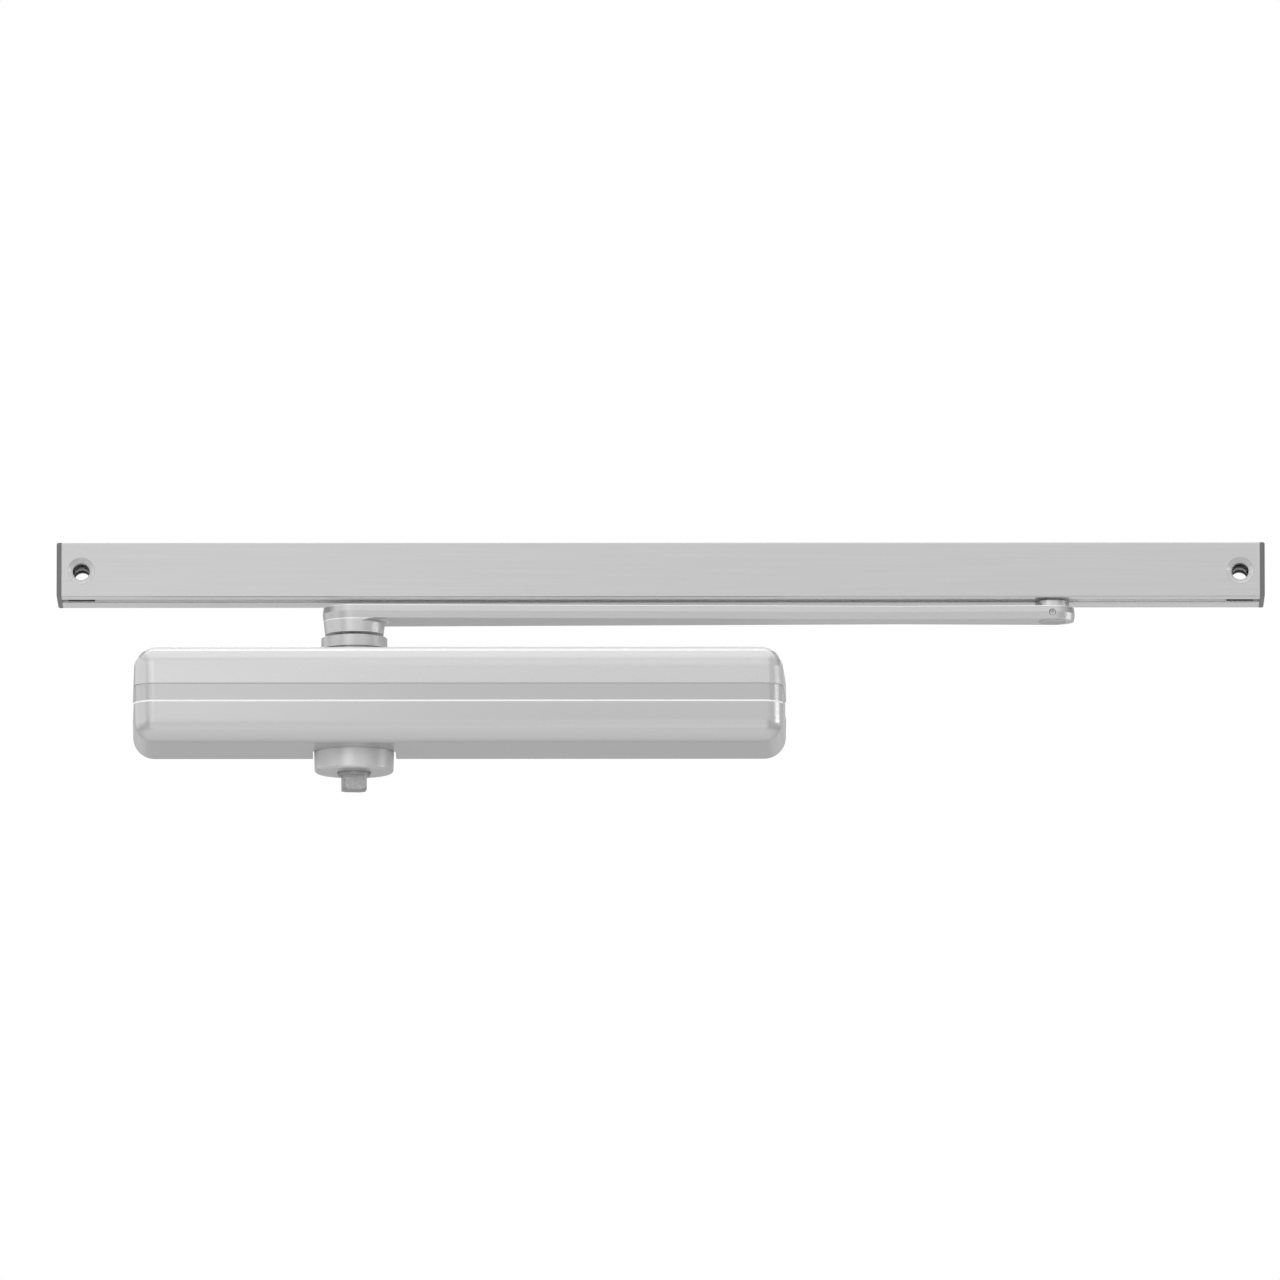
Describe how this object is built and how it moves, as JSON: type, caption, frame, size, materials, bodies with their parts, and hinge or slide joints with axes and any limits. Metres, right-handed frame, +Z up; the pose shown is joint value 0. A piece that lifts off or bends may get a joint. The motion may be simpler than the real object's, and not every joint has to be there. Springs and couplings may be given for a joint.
{
  "type": "door closer",
  "caption": "Surface-mounted door closer: a rounded silver cover over a sprung rack-and-pinion body, with a one-piece arm whose slider runs in a slotted track rail.",
  "frame": {"origin": "centre of the body's four mounting screws, on the face of the door (Y = 0)", "axes": "+X along the cover and the track, towards the arm's slider end with the door closed; +Y into the door, away from the cover's front; +Z up, towards the track"},
  "size_m": [0.556, 0.061, 0.1136],
  "materials": {
    "cover_paint": "silver painted moulding, satin",
    "silver_paint": "silver paint over turned metal, satin",
    "arm_paint": "silver paint over a forging, satin",
    "track_aluminium": "silver anodised extrusion, satin",
    "cast_alloy": "as cast with machined bores",
    "bare_steel": "bare turned steel",
    "bright_steel": "ground steel",
    "spring_steel": "oil tempered wire",
    "zinc_steel": "zinc plated",
    "valve_brass": "turned brass",
    "black_rubber": "matte",
    "black_plastic": "moulded, satin",
    "dark_plastic": "moulded, matte",
    "white_nylon": "moulded nylon, semi-gloss"
  },
  "bodies": {
    "closer_body": {"cover": "cover_paint", "body_casting": "cast_alloy", "left_end_plug": "zinc_steel", "right_end_plug": "zinc_steel", "end_plug_seals": "black_rubber", "upper_bearing": "bright_steel", "lower_bearing": "bright_steel", "shaft_seals": "black_rubber", "upper_gland_nut": "silver_paint", "lower_bearing_cap": "silver_paint", "adjusting_screw_seal": "black_rubber", "closing_spring": "spring_steel"},
    "spindle_and_arm": {"spindle": "bare_steel", "arm": "arm_paint", "arm_screw": "zinc_steel", "slider_stud": "zinc_steel", "stud_set_screw": "zinc_steel", "stud_washer": "zinc_steel"},
    "rack_piston": {"piston": "bright_steel", "piston_seal": "black_rubber", "check_ball": "bright_steel", "check_retainer": "valve_brass"},
    "slider": {"slider_block": "white_nylon"},
    "track": {"track_rail": "track_aluminium", "left_track_cap": "dark_plastic", "right_track_cap": "dark_plastic"},
    "adjuster": {"spring_adjusting_screw": "zinc_steel"},
    "seat": {"spring_seat": "zinc_steel"},
    "closing_valve": {"closing_speed_valve": "valve_brass", "closing_valve_seal": "black_rubber"},
    "latch_valve": {"latch_speed_valve": "valve_brass", "latch_valve_seal": "black_rubber"},
    "backcheck_valve_screw": {"backcheck_valve": "valve_brass", "backcheck_valve_seal": "black_rubber"}
  },
  "joints": [
    {"name": "spindle_turn", "type": "hinge", "parent": "closer_body", "child": "spindle_and_arm", "pos_m": [-0.0483, -0.0205, 0], "axis": [0, 0, 1], "range_deg": [0, 150], "stiffness_Nm_per_rad": 5.5, "springref_deg": -126.05},
    {"name": "piston_travel", "type": "slide", "parent": "closer_body", "child": "rack_piston", "axis": [1, 0, 0], "range_m": [0, 0.0236], "deforming": ["closing_spring"]},
    {"name": "slider_pivot", "type": "hinge", "parent": "spindle_and_arm", "child": "slider", "pos_m": [0.2731, -0.0205, 0.057], "axis": [0, 0, 1], "range_deg": [-90, 90]},
    {"name": "track_slide", "type": "slide", "parent": "slider", "child": "track", "axis": [1, 0, 0], "range_m": [-0.06, 0.4205]},
    {"name": "adjuster_turn", "type": "hinge", "parent": "closer_body", "child": "adjuster", "pos_m": [0.1, -0.032, 0], "axis": [1, 0, 0], "range_deg": [0, 1800]},
    {"name": "seat_travel", "type": "slide", "parent": "closer_body", "child": "seat", "axis": [-1, 0, 0], "range_m": [0, 0.00625], "deforming": ["closing_spring"]},
    {"name": "closing_valve_turn", "type": "hinge", "parent": "closer_body", "child": "closing_valve", "pos_m": [-0.018, -0.05, -0.0132], "axis": [0, -1, 0], "range_deg": [-360, 360]},
    {"name": "latch_valve_turn", "type": "hinge", "parent": "closer_body", "child": "latch_valve", "pos_m": [-0.08, -0.05, -0.0132], "axis": [0, -1, 0], "range_deg": [-360, 360]},
    {"name": "backcheck_valve_turn", "type": "hinge", "parent": "closer_body", "child": "backcheck_valve_screw", "pos_m": [0.034, -0.05, -0.0132], "axis": [0, -1, 0], "range_deg": [-360, 360]}
  ],
  "couplings": [
    {"joint": "piston_travel", "follows": "spindle_turn", "m_per_rad": 0.009},
    {"joint": "adjuster_turn", "follows": "seat_travel", "rad_per_m": 5026.5}
  ]
}
